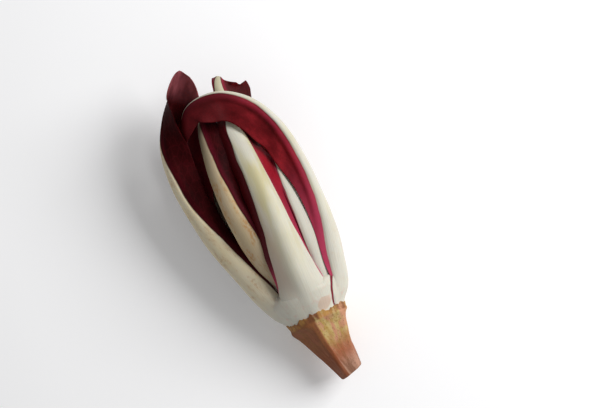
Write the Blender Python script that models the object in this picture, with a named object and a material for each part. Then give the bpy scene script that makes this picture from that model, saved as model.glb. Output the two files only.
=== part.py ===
"""A head of forced red chicory: a peeled stub of root and the nineteen leaves that grow from its crown.

The head lies on its side. X runs across it, Y from the root to the leaf tips, and Z up from the board
that it rests on. Every number in the plan is in millimetres, measured from the middle of the collar,
where the leaves meet the root, except that heights are measured from the board.
"""

import math

import bpy
import numpy as np

MM = 0.001

# The head's own size.
COLLAR_HEIGHT = 22.0      # height of the root's axis at the collar
BELLY_HEIGHT = 31.0       # height of the head's axis at its widest
AXIS_DRIFT = -5.0         # how far the axis leans to the left by the belly
BELLY_START = 70.0        # distance from the collar at which the axis is level and straight
HEAD_CENTRE = (-6.0, 60.6)  # the middle of the head's box, which becomes the origin

# The root stub and the crown that it ends in, as rings: distance from the collar, radius, how far the
# centre lies to the right of the collar's and above it, how far the ring leans forward at its top and
# back at its left per unit, and the angle of its first corner.
COLLAR_X = -1.0
ROOT_FACES = 8            # knife cuts round the peeled root
ROOT_RINGS = [
    (-39.5, 6.7, 5.2, -4.0, 0.05, 0.28, 16),
    (-24.0, 10.2, 2.8, -2.6, 0.10, 0.14, 24),
    (-9.0, 14.6, 0.4, -0.8, 0.12, 0.04, 32),
    (-1.6, 18.2, 0.0, 0.0, 0.13, 0.0, 36),
    (0.0, 17.2, 0.0, 0.0, 0.13, 0.0, 36),
    (0.3, 11.6, 0.0, 0.0, 0.13, 0.0, 36),
    (7.0, 7.0, -0.2, 0.0, 0.10, 0.0, 36),
    (12.0, 3.9, -0.4, 0.6, 0.08, 0.0, 36),
    (16.5, 1.8, -0.4, 1.2, 0.0, 0.0, 36),
]

# How finely a leaf is built.
STATIONS = 17             # sections from the leaf's base to its tip
RIB_STEPS = 4             # strips across the rib
BLADE_STEPS = 2           # strips across each blade
BLADE_THICKNESS = 1.3
RIB_OUTER_SHARE = 0.62    # share of the rib's thickness on its outer side
FOLD_SHARPNESS = 3.0      # distance over which a blade folds away from the rib

RIB_WHITE = (0.80, 0.79, 0.68)
BLADE_RED = (0.20, 0.010, 0.022)
ROOT_TAN = (0.52, 0.30, 0.17)


def smooth_step(x):
    """0 below 0, 1 above 1, and a smooth S between."""
    x = np.clip(x, 0.0, 1.0)
    return x * x * (3.0 - 2.0 * x)


def head_axis(y):
    """The head's middle line at distance y from the collar, as an array of points."""
    y = np.asarray(y, float)
    rise = smooth_step(y / BELLY_START)
    x = AXIS_DRIFT * rise - 1.0
    z = COLLAR_HEIGHT + (BELLY_HEIGHT - COLLAR_HEIGHT) * rise
    return np.stack([x, y, z], axis=-1)


def through(values, t):
    """Values given at equal steps from 0 to 1, read at t along a Catmull-Rom curve through them."""
    v = np.asarray(values, float)
    v = np.concatenate([[2 * v[0] - v[1]], v, [2 * v[-1] - v[-2]]])
    place = np.clip(np.asarray(t, float), 0.0, 1.0) * (len(v) - 3)
    i = np.minimum(place.astype(int), len(v) - 4)
    f = place - i
    if v.ndim > 1:
        f = f[:, None]
    a, b, c, d = v[i], v[i + 1], v[i + 2], v[i + 3]
    return 0.5 * (2 * b + (c - a) * f + (2 * a - 5 * b + 4 * c - d) * f**2 + (3 * b - a - 3 * c + d) * f**3)


def even_path(points, stations):
    """Points at equal distances along the smooth curve through a leaf's plan points."""
    dense = through(points, np.linspace(0, 1, 400))
    run = np.concatenate([[0], np.cumsum(np.linalg.norm(np.diff(dense, axis=0), axis=1))])
    wanted = np.linspace(0, run[-1], stations)
    return np.stack([np.interp(wanted, run, dense[:, k]) for k in range(3)], axis=-1)


def unit(v):
    return v / np.linalg.norm(v, axis=-1, keepdims=True)


def leaf_frame(path, turn_at, twist):
    """The direction along the rib, the one out of its back, and the one to its right, at each station.

    The back faces away from the head's axis, or, past turn_at, away from the axis's point there, so that
    a hooked tip keeps its back on the outside of the hook. Twist turns the back about the rib, in degrees.
    """
    along = unit(np.gradient(path, axis=0))
    inside = head_axis(np.minimum(path[:, 1], turn_at))
    away = path - inside
    back = unit(away - (away * along).sum(1, keepdims=True) * along)
    right = np.cross(along, back)
    a = np.radians(twist)[:, None]
    return along, back * np.cos(a) + right * np.sin(a), right * np.cos(a) - back * np.sin(a)


def half_section(half_rib, blade, bend, fold):
    """One side of the leaf's middle line across the rib, as (distance out, distance in) from its centre.

    The rib bends evenly by bend over its half width. The blade folds by a further fold, most of it
    within FOLD_SHARPNESS of the rib, and runs on straight.
    """
    fine = 24
    rib_run = np.linspace(0, 1, fine)
    blade_run = np.linspace(0, 1, fine)[1:] * max(blade, 0.3)
    angle = np.concatenate([bend * rib_run, bend + fold * (1 - np.exp(-blade_run / FOLD_SHARPNESS))])
    run = np.concatenate([half_rib * rib_run, half_rib + blade_run])
    step = np.diff(run)
    middle = 0.5 * (angle[1:] + angle[:-1])
    out = np.concatenate([[0], np.cumsum(np.cos(middle) * step)])
    inward = np.concatenate([[0], np.cumsum(np.sin(middle) * step)])
    picked = np.concatenate([
        half_rib * np.linspace(0, 1, RIB_STEPS // 2 + 1),
        half_rib + np.linspace(0, 1, BLADE_STEPS + 1)[1:] * max(blade, 0.3),
    ])
    at = [np.interp(picked, run, line) for line in (out, inward, angle)]
    return picked / half_rib, *at


def leaf_section(half_rib, thick, left, right, bend, fold_left, fold_right):
    """The closed outline of a leaf across its rib: its back from left to right, then its front."""
    sides = [half_section(half_rib, left, bend, fold_left), half_section(half_rib, right, bend, fold_right)]
    places, turns, depths = [], [], []
    for sign, (share, out, inward, angle) in zip((-1, 1), sides):
        deep = BLADE_THICKNESS + (thick - BLADE_THICKNESS) * np.sqrt(np.clip(1 - share**2, 0, 1))
        line = np.stack([sign * out, -inward], axis=-1)
        normal = np.stack([sign * np.sin(angle), np.cos(angle)], axis=-1)
        order = slice(None, 0, -1) if sign < 0 else slice(None)
        places.append(line[order])
        turns.append(normal[order])
        depths.append(deep[order])
    line, normal, deep = (np.concatenate(part) for part in (places, turns, depths))
    back = line + normal * (deep * RIB_OUTER_SHARE)[:, None]
    front = line - normal * (deep * (1 - RIB_OUTER_SHARE))[:, None]
    return np.concatenate([back, front[::-1]])


SECTION_KEYS = ("rib", "thick", "left", "right", "bend", "fold_left", "fold_right")


def leaf_points(leaf):
    """The rings of points that bound a leaf, one ring a station."""
    t = np.linspace(0, 1, STATIONS)
    path = even_path(leaf["path"], STATIONS)
    along, back, right = leaf_frame(path, leaf["turn_at"], through(leaf["twist"], t))
    values = {key: through(leaf[key], t) for key in SECTION_KEYS}
    rings = []
    for i in range(STATIONS):
        flat = leaf_section(
            values["rib"][i], values["thick"][i], values["left"][i], values["right"][i],
            math.radians(values["bend"][i]), math.radians(values["fold_left"][i]),
            math.radians(values["fold_right"][i]),
        )
        rings.append(path[i] + flat[:, :1] * right[i] + flat[:, 1:] * back[i])
    rings = np.array(rings)
    rings[..., 2] = np.maximum(rings[..., 2], 0.0)
    return rings


def leaf(name, path, turn_at=112.0, **shape):
    """A leaf's plan: its rib's path and, at equal steps from base to tip, how it is across.

    rib is half the rib's width and thick its thickness, left and right the blades' widths, bend the angle
    that the rib's back turns through from its middle to its edge, and the folds the further angle that
    each blade turns inwards. Left and right are as seen from the leaf's back with its tip up. White_to is
    the share of the leaf's length at which its rib turns red.
    """
    plan = {
        "rib": (6.5, 6.5, 5.8, 5.0, 3.4, 1.2),
        "thick": (4.6, 5.0, 4.6, 3.8, 2.8, 1.6),
        "left": (0.3, 1.0, 4.5, 7.0, 6.5, 1.5),
        "right": (0.3, 1.0, 4.5, 7.0, 6.5, 1.5),
        "bend": (30, 34, 36, 36, 36, 30),
        "fold_left": (0, 20, 45, 55, 55, 40),
        "fold_right": (0, 20, 45, 55, 55, 40),
        "twist": (0, 0),
        "white_to": 0.92,
    }
    plan.update(shape)
    return {"name": name, "path": path, "turn_at": turn_at, **plan}


# The five outermost leaves, whose ribs are widest near the collar, from the top round to the left.
OUTER_LEAVES = [
    leaf(
        "top_leaf",
        [(-1.0, 3.0, 38.3), (-0.3, 15, 44.3), (-0.4, 34, 52.0), (1.4, 57, 56.5), (2.0, 80, 56.0), (2.2, 98, 51.5),
         (1.4, 111, 46), (-1.5, 121, 39), (-5, 127, 32), (-7, 128.5, 26)],
        rib=(11.2, 14.2, 11.9, 9.6, 7.8, 6.6, 5.0, 3.2, 1.0),
        thick=(4.4, 5.6, 6.2, 5.8, 5.2, 4.4, 3.4, 2.4, 1.5),
        bend=(34, 40, 42, 42, 42, 42, 40, 36, 30),
        left=(0.3, 0.3, 1.2, 5.0, 7.5, 8.5, 7.0, 4.0, 1.0),
        right=(0.3, 0.3, 1.2, 4.0, 4.6, 4.4, 2.2, 1.8, 1.0),
        fold_right=(0, 10, 15, 20, 22, 25, 35, 45, 40),
        white_to=0.93,
    ),
    leaf(
        "right_hook_leaf",
        [(13.8, 2.6, 28.4), (18.9, 12, 33), (24, 27, 37), (27.8, 47, 39.5), (29.8, 72, 41.5), (29.0, 94, 44.5),
         (24.6, 112, 48.0), (16.6, 127.5, 50), (4.5, 138, 50.5), (-8, 141, 50), (-18.5, 138.2, 47.5),
         (-25, 129, 44), (-28.5, 119.5, 40)],
        turn_at=104.0,
        twist=(-12, -15, -18, -5, -8, -6, 0, 0, 0),
        rib=(7.0, 7.8, 7.8, 6.4, 5.6, 4.2, 2.3, 1.2, 0.8),
        thick=(4.4, 5.4, 5.4, 5.0, 4.6, 4.0, 3.0, 2.0, 1.5),
        left=(0.3, 0.8, 3.5, 9.0, 13.0, 15.0, 14.2, 11.5, 1.5),
        right=(0.3, 0.3, 2.5, 4.5, 5.5, 5.0, 4.0, 3.0, 1.0),
        fold_left=(0, 15, 25, 40, 35, 30, 28, 25, 20),
        white_to=0.84,
    ),
    leaf(
        "lower_right_leaf",
        [(9.6, -0.4, 11.2), (12.8, 13, 6.8), (15.5, 29, 3.2), (17, 50, 2.3), (16.5, 80, 2.5), (13, 103, 6.0), (7.5, 118, 12),
         (3.5, 125, 18), (2.5, 126, 22)],
        twist=(0, 10, 12, 12, 12, 5, 0),
        rib=(7.6, 8.2, 6.8, 5.4, 3.4, 1.2),
    ),
    leaf(
        "lower_left_leaf",
        [(-11.6, -0.4, 11.2), (-15.5, 13, 6.8), (-20, 29, 3.2), (-24, 50, 2.3), (-25, 80, 2.5), (-22, 104, 6.0),
         (-16, 120, 12), (-12, 127, 17), (-10.5, 128.5, 21)],
        twist=(0, -10, -12, -12, -12, -5, 0),
        rib=(7.6, 8.2, 6.8, 5.4, 3.4, 1.2),
        right=(0.3, 1.0, 3.5, 5.0, 5.0, 1.5),
    ),
    leaf(
        "left_leaf",
        [(-15.6, 2.2, 26.8), (-20.2, 12, 30.3), (-25.6, 28, 33), (-31.7, 46, 34.5), (-38.2, 68, 35.5), (-42, 90, 36.5),
         (-42.6, 110, 37.5), (-39.5, 126, 38.5), (-32.5, 139, 38.5), (-24, 149.5, 37.5), (-12, 161.5, 41.5)],
        turn_at=130.0,
        twist=(25, 34, 31, 33, 12, 4, -12, -50, -65),
        rib=(7.2, 8.2, 8.0, 7.2, 6.0, 5.0, 3.2, 1.6, 1.0),
        thick=(4.4, 5.4, 5.4, 5.0, 4.4, 3.8, 3.0, 2.0, 1.5),
        right=(0.3, 0.3, 1.6, 5.5, 9.5, 12.5, 11.0, 9.0, 4.5),
        left=(0.3, 0.3, 2.5, 4.0, 5.0, 5.0, 5.5, 9.5, 6.0),
        fold_right=(0, 20, 40, 45, 48, 50, 40, 15, 10),
        fold_left=(0, 20, 40, 50, 55, 50, 35, 15, 10),
        white_to=0.72,
    ),
]

# The five that rise between them.
SECOND_LEAVES = [
    leaf(
        "upper_left_leaf",
        [(-7.0, 8.5, 27.6), (-11.4, 22, 30.8), (-14.5, 32, 35.2), (-17.1, 45, 42.6), (-18.1, 60, 47.8), (-19.4, 77, 49.5),
         (-19.4, 98, 47.0), (-17.8, 114, 42.5), (-15.5, 124, 37), (-14, 128, 31)],
        rib=(3.8, 5.2, 6.2, 6.6, 5.0, 3.7, 2.5, 1.5, 0.8),
        left=(0.3, 0.3, 2.5, 5.0, 6.5, 6.5, 5.5, 3.0, 0.8),
        right=(0.3, 0.3, 1.5, 4.0, 6.0, 6.5, 5.0, 2.5, 0.8),
    ),
    leaf(
        "upper_right_leaf",
        [(5.8, 8.5, 27.8), (11.4, 22, 31.5), (14.8, 38, 37.0), (16.4, 57, 40.5), (16.6, 80, 41.0), (15.6, 96, 38),
         (14, 107, 33.5), (12.8, 113, 28), (12.2, 114.5, 24)],
        rib=(3.8, 5.2, 5.4, 5.2, 4.8, 3.8, 2.8, 1.8, 0.8),
        left=(0.3, 0.3, 1.5, 3.0, 4.0, 3.0, 1.8, 1.4, 0.8),
        right=(0.3, 0.3, 1.5, 3.0, 4.0, 4.0, 2.4, 1.4, 0.8),
        fold_left=(0, 20, 30, 40, 45, 50, 55, 55, 40),
    ),
    leaf(
        "right_flank_leaf",
        [(9.8, 7.5, 18.2), (15.2, 22, 17.5), (21.5, 42, 19.0), (27.0, 64, 20.5), (28.2, 87, 22), (24, 106, 23.5),
         (17, 117, 26), (13, 121, 28.5), (12, 120.5, 31)],
    ),
    leaf(
        "under_leaf",
        [(-1.0, 7.0, 12.0), (-2.5, 22, 9.8), (-4, 42, 6.6), (-4.4, 65, 5.4), (-4.6, 88, 6.6), (-4.6, 108, 12.0), (-4, 119, 18),
         (-3.5, 123, 24)],
    ),
    leaf(
        "left_flank_leaf",
        [(-11.7, 7.5, 18.4), (-18.4, 22, 17.5), (-27, 42, 17.5), (-35, 65, 19), (-37.4, 88, 20.5), (-33.4, 110, 23),
         (-26, 124, 26), (-20, 130, 29), (-17.5, 129, 32)],
        left=(0.3, 1.0, 3.5, 5.0, 5.0, 1.5),
        right=(0.3, 1.0, 5.0, 10.0, 11.0, 2.5),
        fold_right=(0, 20, 40, 30, 28, 30),
    ),
]


def inner_leaf(name, angle, reach, base_y, length, size):
    """A smaller leaf inside the outer ones, at an angle round the head's axis, with its tip hooked in."""
    steps = [(0.00, 0.30), (0.14, 0.55), (0.36, 0.90), (0.62, 1.00), (0.84, 0.86), (0.97, 0.52), (1.00, 0.18)]
    a = math.radians(angle)
    path = []
    for share, out in steps:
        out = max(out, 2.9 / reach)
        y = base_y + share * length
        x0, _, z0 = head_axis(y)
        path.append((x0 + reach * out * math.cos(a), y, z0 + 0.85 * reach * out * math.sin(a)))
    across = np.array([2.2, 3.4, 3.8, 3.4, 2.4, 0.9]) * size
    blade = np.array([0.3, 1.5, 3.2, 4.0, 3.6, 0.8]) * size
    return leaf(name, path, turn_at=base_y + 0.8 * length, rib=across, left=blade, right=blade,
                thick=np.array([2.6, 3.2, 3.2, 2.8, 2.2, 1.5]) * size)


# The five inside those, of which the first stands up behind the rest with its blade spread to the right.
INNER_LEAVES = [
    leaf(
        "back_leaf",
        [(2.2, 13, 28.2), (4.8, 30, 34), (7.0, 60, 37.5), (8.8, 90, 37.5), (9.6, 110, 37.5), (8.4, 121, 38.5),
         (5.6, 131, 40), (3.4, 140, 41), (4.0, 147.0, 40.5), (4.8, 150.5, 37.5), (4.9, 149.8, 34.5)],
        turn_at=140.0,
        twist=(0, 0, -10, -14, -18, -24, -28, -20),
        rib=(2.6, 3.4, 3.9, 3.8, 3.2, 2.6, 2.2, 1.4),
        thick=(2.6, 3.2, 3.2, 3.0, 2.8, 2.6, 2.2, 1.5),
        left=(0.3, 1.5, 2.5, 2.8, 2.8, 2.5, 2.0, 1.0),
        right=(0.3, 1.5, 2.0, 2.0, 1.6, 0.8, 14.5, 1.0),
        fold_right=(0, 20, 45, 45, 30, -10, -34, -34),
        white_to=0.97,
    ),
    inner_leaf("inner_leaf_1", 140, 14.0, 13.4, 107, 0.9),
    inner_leaf("inner_leaf_2", 211, 17.5, 13.4, 109, 1.05),
    inner_leaf("inner_leaf_3", 275, 15.5, 13.4, 104, 0.9),
    inner_leaf("inner_leaf_4", -18, 15.5, 13.4, 100, 0.8),
]
HEART_LEAVES = [
    inner_leaf(f"heart_leaf_{i + 1}", angle, 6.2, 17.5, length, 0.5)
    for i, (angle, length) in enumerate([(100, 90), (190, 84), (280, 80), (10, 86)])
]


def material(name, colour, roughness):
    """A plain surface of one colour."""
    made = bpy.data.materials.new(name)
    made.use_nodes = True
    shader = made.node_tree.nodes["Principled BSDF"]
    shader.inputs["Base Color"].default_value = (*colour, 1.0)
    shader.inputs["Roughness"].default_value = roughness
    return made


def add_leaf(plan, collection, rib_finish, blade_finish):
    """One closed leaf: its sections joined by strips, with a strip across each end."""
    rings = leaf_points(plan)
    count = rings.shape[1]
    faces = []
    for i in range(STATIONS - 1):
        for j in range(count):
            k = (j + 1) % count
            faces.append((i * count + j, i * count + k, (i + 1) * count + k, (i + 1) * count + j))
    last = (STATIONS - 1) * count
    for j in range(count // 2 - 1):
        faces.append((j + 1, j, count - 1 - j, count - 2 - j))
        faces.append((last + j, last + j + 1, last + count - 2 - j, last + count - 1 - j))
    shift = np.array([*HEAD_CENTRE, 0.0])
    mesh = bpy.data.meshes.new(plan["name"])
    mesh.from_pydata(((rings.reshape(-1, 3) - shift) * MM).tolist(), [], faces)
    mesh.materials.append(rib_finish)
    mesh.materials.append(blade_finish)
    on_rib = range(BLADE_STEPS, BLADE_STEPS + RIB_STEPS)
    for n, face in enumerate(mesh.polygons):
        i, j = divmod(n, count)
        white = i < plan["white_to"] * (STATIONS - 1) and (j in on_rib or count - 2 - j in on_rib)
        face.material_index = 0 if white else 1
    mesh.shade_smooth()
    mesh.set_sharp_from_angle(angle=math.radians(50))
    made = bpy.data.objects.new(plan["name"], mesh)
    collection.objects.link(made)
    return made


def add_root(collection, finish):
    """The peeled root stub, cut off at its tip, and the crown inside the leaf bases, both pared in flats.

    It is a pile of eight-sided rings, joined corner to corner.
    """
    rings = []
    for y, radius, dx, dz, lean, yaw, turn in ROOT_RINGS:
        for i in range(ROOT_FACES):
            a = math.radians(turn + i * 360 / ROOT_FACES)
            across, up = radius * math.cos(a), radius * math.sin(a)
            rings.append((COLLAR_X + dx + across, y + lean * up + yaw * across, COLLAR_HEIGHT + dz + up))
    n = ROOT_FACES
    faces = [tuple(range(n))]
    for i in range(len(ROOT_RINGS) - 1):
        for j in range(n):
            k = (j + 1) % n
            faces.append((i * n + k, i * n + j, (i + 1) * n + j, (i + 1) * n + k))
    last = (len(ROOT_RINGS) - 1) * n
    faces.append(tuple(range(last + n - 1, last - 1, -1)))
    shift = np.array([*HEAD_CENTRE, 0.0])
    mesh = bpy.data.meshes.new("root_stub")
    mesh.from_pydata(((np.array(rings) - shift) * MM).tolist(), [], faces)
    mesh.materials.append(finish)
    mesh.shade_smooth()
    mesh.set_sharp_from_angle(angle=math.radians(20))
    made = bpy.data.objects.new("root_stub", mesh)
    collection.objects.link(made)
    return made


def main():
    for old in list(bpy.data.objects):
        bpy.data.objects.remove(old)
    head = bpy.data.collections.new("chicory_head")
    bpy.context.scene.collection.children.link(head)
    rib_finish = material("leaf_rib", RIB_WHITE, 0.42)
    blade_finish = material("leaf_blade", BLADE_RED, 0.5)
    add_root(head, material("peeled_root", ROOT_TAN, 0.7))
    for plan in OUTER_LEAVES + SECOND_LEAVES + INNER_LEAVES + HEART_LEAVES:
        add_leaf(plan, head, rib_finish, blade_finish)


main()
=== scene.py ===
# %% [markdown]
# # A head of late red radicchio
#
# The solid model of the head is already made: a root stub and nineteen leaves, each a closed solid.
# This lesson dresses it. Every plain solid leaf is replaced by a finer leaf with thin, waved blades,
# the root gets its knife cuts and its torn collar, and each surface gets a material that is worked out
# from numbers and not from an image. First the model is loaded as a fixed frame, and its box is kept.

# %% Load the frame
import math
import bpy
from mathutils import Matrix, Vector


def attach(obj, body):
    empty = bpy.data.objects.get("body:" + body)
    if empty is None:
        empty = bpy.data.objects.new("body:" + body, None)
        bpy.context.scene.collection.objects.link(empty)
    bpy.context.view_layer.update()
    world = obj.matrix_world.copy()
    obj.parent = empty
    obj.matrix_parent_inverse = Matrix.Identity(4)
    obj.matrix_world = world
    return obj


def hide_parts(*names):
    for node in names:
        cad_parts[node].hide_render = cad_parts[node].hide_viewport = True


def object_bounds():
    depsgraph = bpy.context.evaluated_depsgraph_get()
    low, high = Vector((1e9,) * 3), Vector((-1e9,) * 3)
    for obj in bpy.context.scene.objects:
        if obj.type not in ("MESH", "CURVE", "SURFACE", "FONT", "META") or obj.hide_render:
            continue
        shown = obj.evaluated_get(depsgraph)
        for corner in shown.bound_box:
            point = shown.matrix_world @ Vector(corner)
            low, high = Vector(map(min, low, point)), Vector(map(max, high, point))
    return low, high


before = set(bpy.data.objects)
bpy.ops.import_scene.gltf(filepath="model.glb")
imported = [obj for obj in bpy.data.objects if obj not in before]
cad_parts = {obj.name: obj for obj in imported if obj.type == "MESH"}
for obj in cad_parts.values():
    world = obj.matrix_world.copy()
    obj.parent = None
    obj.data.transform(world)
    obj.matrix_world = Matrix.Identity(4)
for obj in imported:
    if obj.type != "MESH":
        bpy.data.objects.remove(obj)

from types import SimpleNamespace

import bpy
import numpy as np
from mathutils import Matrix, Vector

cad_low, cad_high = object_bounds()
print("model box, mm:", [round(1000 * (b - a), 1) for a, b in zip(cad_low, cad_high)])

# %% [markdown]
# ## The plan's own measure
#
# The head is planned in millimetres from the middle of its collar, where the leaves meet the root:
# x across, y towards the tips, z up from the board. The plan is placed by the model's box: the box's
# middle is a known point of the plan, and its length sets how long a plan millimetre is in metres. A
# head that is scaled up or down in the model then carries every piece with it.

# %% Place the plan on the model
PLAN_LENGTH = 204.0             # root tip to leaf tip
PLAN_CENTRE = (-6.0, 60.6)      # the middle of the head's box, from the collar
MM = (cad_high.y - cad_low.y) / PLAN_LENGTH
BOX_CENTRE = np.array([(cad_low.x + cad_high.x) / 2, (cad_low.y + cad_high.y) / 2, cad_low.z])


def to_world(points):
    """Plan millimetres to metres in the model's frame: (point - plan centre) x MM + box centre."""
    points = np.asarray(points, float)
    return (points - np.array([*PLAN_CENTRE, 0.0])) * MM + BOX_CENTRE


print("one plan millimetre is", round(MM * 1000, 4), "mm")

# %% [markdown]
# ## Curves through a few numbers
#
# A leaf is described by a handful of numbers from its base to its tip: where its rib runs, how wide the
# rib and the blades are, and how they fold. A Catmull-Rom curve runs smoothly through such numbers, and
# it is easier to think in than a Bezier curve, because every number is a place that the curve visits.

# %% Curves
PATH_POINTS = 600             # points on which a curve's length is measured


def through(values, t):
    """Values at equal steps from 0 to 1, read at t on the Catmull-Rom curve through them."""
    v = np.asarray(values, float)
    v = np.concatenate([[2 * v[0] - v[1]], v, [2 * v[-1] - v[-2]]])
    place = np.clip(np.asarray(t, float), 0.0, 1.0) * (len(v) - 3)
    i = np.minimum(place.astype(int), len(v) - 4)
    f = place - i
    if v.ndim > 1:
        f = f[:, None]
    a, b, c, d = v[i], v[i + 1], v[i + 2], v[i + 3]
    squared, cubed = (2 * a - 5 * b + 4 * c - d) * f**2, (3 * b - a - 3 * c + d) * f**3
    return 0.5 * (2 * b + (c - a) * f + squared + cubed)


def even_path(points, stations):
    """Points at equal distances along the curve through the plan points, and the curve's length."""
    dense = through(points, np.linspace(0, 1, PATH_POINTS))
    run = np.concatenate([[0], np.cumsum(np.linalg.norm(np.diff(dense, axis=0), axis=1))])
    wanted = np.linspace(0, run[-1], stations)
    return np.stack([np.interp(wanted, run, dense[:, k]) for k in range(3)], axis=-1), run[-1]


def smooth_step(x):
    """0 below 0, 1 above 1 and 3x^2 - 2x^3 between."""
    x = np.clip(x, 0.0, 1.0)
    return x * x * (3.0 - 2.0 * x)


def ripple(x, seed, wavelengths):
    """A wandering wave of about unit height: sines of several wavelengths, with phases from a seed."""
    phases = np.random.default_rng(seed).uniform(0, 2 * math.pi, len(wavelengths))
    waves = [np.sin(2 * math.pi * x / w + p) for w, p in zip(wavelengths, phases)]
    return sum(waves) / math.sqrt(len(wavelengths))


print("halfway through 0, 1, 4:", through([0, 1, 4], [0.5])[0])

# %% [markdown]
# ## Which way a leaf faces
#
# The leaves stand round the head's axis with their backs outwards. The axis runs from the collar along
# the head and rises a little, because the belly is thicker than the collar. At each station of a rib,
# the back direction is the one away from the axis, and a twist turns it about the rib where needed.

# %% The head's axis and a leaf's directions
COLLAR_X, COLLAR_Z = -1.0, 22.0    # mm: the middle of the collar, across and up
AXIS_LEAN, AXIS_RISE, AXIS_RUN = 5.0, 9.0, 70.0    # mm to the left, mm up, and mm along in which both happen


def head_axis(y):
    """The head's middle line: from the collar it leans left and rises by a smooth step."""
    y = np.asarray(y, float)
    rise = smooth_step(y / AXIS_RUN)
    return np.stack([COLLAR_X - AXIS_LEAN * rise, y, COLLAR_Z + AXIS_RISE * rise], axis=-1)


def unit(v):
    """The same direction with length 1."""
    return v / np.linalg.norm(v, axis=-1, keepdims=True)


def leaf_directions(path, turn_at, twist):
    """Out of a rib's back, and to its right, at each station.

    Back = the part of (path - axis) that is square to the rib. Past turn_at the axis point stays where
    it is, so that a hooked tip keeps its back outside the hook. Twist turns both about the rib.
    """
    along = unit(np.gradient(path, axis=0))
    away = path - head_axis(np.minimum(path[:, 1], turn_at))
    back = unit(away - (away * along).sum(1, keepdims=True) * along)
    right = np.cross(along, back)
    a = np.radians(twist)[:, None]
    return back * np.cos(a) + right * np.sin(a), right * np.cos(a) - back * np.sin(a)


print("axis at the belly:", head_axis(80.0))

# %% [markdown]
# ## Across a leaf
#
# A radicchio leaf is a thick white rib with a thin red blade on each side. Seen in section, the rib's
# back is an arc, and each blade leaves its edge at a fold. The easiest way to draw such a line without
# stretching it is to say which way it points at each distance from the middle, and to add up the small
# steps. The same rule then gives a flat blade, a folded one, or one with a pleat beside the rib.

# %% Half a section, for all stations at once
RIB_STEPS = 14                # strips across half a rib
BLADE_STEPS = 20              # strips across a blade
FOLD_REACH = 3.0              # mm over which a blade folds away from its rib
PLEAT_AT, PLEAT_REACH = 3.8, 1.2    # mm from the rib to the step in a blade, and its half width
BLADE_EDGE, BLADE_ROOT = 0.45, 1.15  # mm of blade thickness at its edge and beside the rib
THIN_REACH = 3.0              # mm over which a blade thins from its root to its edge
ROOF_SOFTNESS = 0.9           # mm beside the middle over which a roof turns from one slope to the other
OUTER_SHARE = 0.62            # share of a rib's thickness behind its middle line


def half_section(half_rib, blade, bend, fold, pleat, roof):
    """Distance, place and direction across one side, as arrays of stations x points.

    direction = bend x s / rib + fold x (1 - e^(-x / reach)) + pleat x e^(-((x - at) / reach)^2) + roof,
    where s is the distance from the middle and x the distance past the rib's edge. The roof's slope is
    reached softly: roof x tanh(s / softness). The place is the running sum of steps in direction.
    """
    over_rib = half_rib[:, None] * np.linspace(0, 1, RIB_STEPS + 1)
    over_blade = half_rib[:, None] + blade[:, None] * np.linspace(0, 1, BLADE_STEPS + 1)[1:]
    s = np.concatenate([over_rib, over_blade], axis=1)
    past = np.maximum(s - half_rib[:, None], 0.0)
    direction = bend[:, None] * np.minimum(s / half_rib[:, None], 1.0)
    direction = direction + fold[:, None] * (1 - np.exp(-past / FOLD_REACH))
    direction = direction + pleat[:, None] * np.exp(-(((past - PLEAT_AT) / PLEAT_REACH) ** 2)) * (past > 0)
    direction = direction + roof[:, None] * np.tanh(s / ROOF_SOFTNESS)
    step = np.diff(s, axis=1)
    middle = 0.5 * (direction[:, 1:] + direction[:, :-1])
    zero = np.zeros((len(s), 1))
    out = np.concatenate([zero, np.cumsum(np.cos(middle) * step, axis=1)], axis=1)
    inward = np.concatenate([zero, np.cumsum(np.sin(middle) * step, axis=1)], axis=1)
    return s, past, out, inward, direction


print("points across one side:", RIB_STEPS + BLADE_STEPS + 1)

# %% [markdown]
# ## A whole leaf
#
# Both halves are joined into a line across, given a thickness, and carried along the rib's path. Real
# blades are never quite even: they wave more towards their edges and towards the tip, so a ripple is
# added that grows with both. The ends of the leaf are rounded by narrowing the last few stations as a
# half circle does. The result is one grid of points, stations by places round the section.

# %% The leaf surface
STATIONS = 170                # rings of points along a leaf
LEAST_RIB, LEAST_BLADE, LEAST_THICK = 0.5, 0.25, 1.2    # mm that a leaf keeps everywhere but at its ends
END_THICK = 0.5               # mm of thickness at its very end
RUFFLE_WAVES = (27.0, 41.0, 18.0)    # mm: the wavelengths of the waves in a blade


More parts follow.
